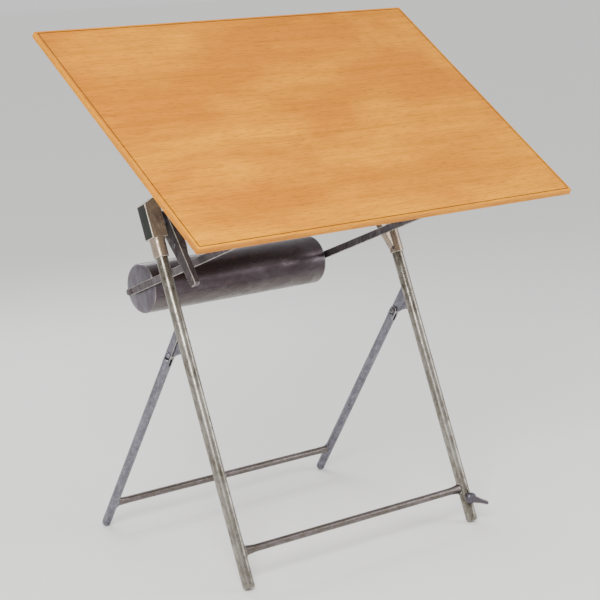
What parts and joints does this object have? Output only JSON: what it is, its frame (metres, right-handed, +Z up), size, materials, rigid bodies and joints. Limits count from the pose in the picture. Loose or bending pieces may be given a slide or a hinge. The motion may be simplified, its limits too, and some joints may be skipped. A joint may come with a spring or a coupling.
{
  "type": "drafting table",
  "caption": "Folding drafting table: tilting wooden board balanced by a steel drum on two long arms, tube legs that fold, tilt lock lever and a levelling foot held by a wing bolt.",
  "frame": {"origin": "on the floor, under the middle of the whole table's box", "axes": "+X to the right of somebody standing at the table, +Y to its back, +Z up"},
  "size_m": [1.3, 0.8958, 1.4796],
  "materials": {
    "front_frame_steel": "satin",
    "rear_frame_steel": "satin",
    "head_iron": "satin",
    "pressed_steel": "satin",
    "drum_steel": "satin",
    "bright_hardware": "satin",
    "board_wood": "satin",
    "batten_wood": "satin"
  },
  "bodies": {
    "front_frame": {"front_crossbar": "front_frame_steel", "left_front_foot": "front_frame_steel", "left_front_leg": "front_frame_steel", "left_head": "head_iron", "left_head_screw": "bright_hardware", "left_hinge_bolt": "bright_hardware", "left_hinge_gusset": "rear_frame_steel", "left_hinge_nut": "bright_hardware", "right_front_leg": "front_frame_steel", "right_head": "head_iron", "right_head_screw": "bright_hardware", "right_hinge_bolt": "bright_hardware", "right_hinge_gusset": "rear_frame_steel", "right_hinge_nut": "bright_hardware"},
    "rear_frame": {"left_rear_foot": "rear_frame_steel", "left_rear_leg": "rear_frame_steel", "rear_crossbar": "rear_frame_steel", "right_rear_foot": "rear_frame_steel", "right_rear_leg": "rear_frame_steel"},
    "board_frame": {"ballast_bar": "head_iron", "drawing_board": "board_wood", "drum_shell": "drum_steel", "left_arm": "pressed_steel", "left_arm_bolt": "bright_hardware", "left_batten": "batten_wood", "left_board_screw_1": "bright_hardware", "left_board_screw_2": "bright_hardware", "left_board_screw_3": "bright_hardware", "left_bracket": "pressed_steel", "left_bracket_front_bolt": "bright_hardware", "left_bracket_rear_bolt": "bright_hardware", "left_drum_bolt": "bright_hardware", "left_drum_cap": "drum_steel", "left_drum_pin": "bright_hardware", "left_hub": "head_iron", "right_arm": "pressed_steel", "right_arm_bolt": "bright_hardware", "right_batten": "batten_wood", "right_board_screw_1": "bright_hardware", "right_board_screw_2": "bright_hardware", "right_board_screw_3": "bright_hardware", "right_bracket": "pressed_steel", "right_bracket_front_bolt": "bright_hardware", "right_bracket_rear_bolt": "bright_hardware", "right_drum_bolt": "bright_hardware", "right_drum_cap": "drum_steel", "right_drum_pin": "bright_hardware", "right_hub": "head_iron", "tilt_shaft": "bright_hardware"},
    "lock_lever": {"lever_rivet": "bright_hardware", "shaft_washer": "bright_hardware", "tilt_lever": "pressed_steel"},
    "foot_slider": {"bolt_saddle": "bright_hardware", "levelling_foot": "front_frame_steel"},
    "clamp_screw": {"wing_bolt": "bright_hardware"}
  },
  "joints": [
    {"name": "rear_fold", "type": "hinge", "parent": "front_frame", "child": "rear_frame", "pos_m": [0, 0.05487, 0.59036], "axis": [1, 0, 0], "range_deg": [-58, 0]},
    {"name": "board_tilt", "type": "hinge", "parent": "front_frame", "child": "board_frame", "pos_m": [0, 0.11456, 0.95529], "axis": [1, 0, 0], "range_deg": [-34.2, 46]},
    {"name": "lever_swing", "type": "hinge", "parent": "front_frame", "child": "lock_lever", "pos_m": [-0.3625, 0.11456, 0.95529], "axis": [1, 0, 0], "range_deg": [-30, 0]},
    {"name": "foot_slide", "type": "slide", "parent": "front_frame", "child": "foot_slider", "axis": [0, -0.3827, -0.9239], "range_m": [0, 0.015]},
    {"name": "wing_turn", "type": "hinge", "parent": "foot_slider", "child": "clamp_screw", "pos_m": [0.41, -0.24937, 0.07668], "axis": [-0.225, -0.9744, 0], "continuous": true}
  ]
}
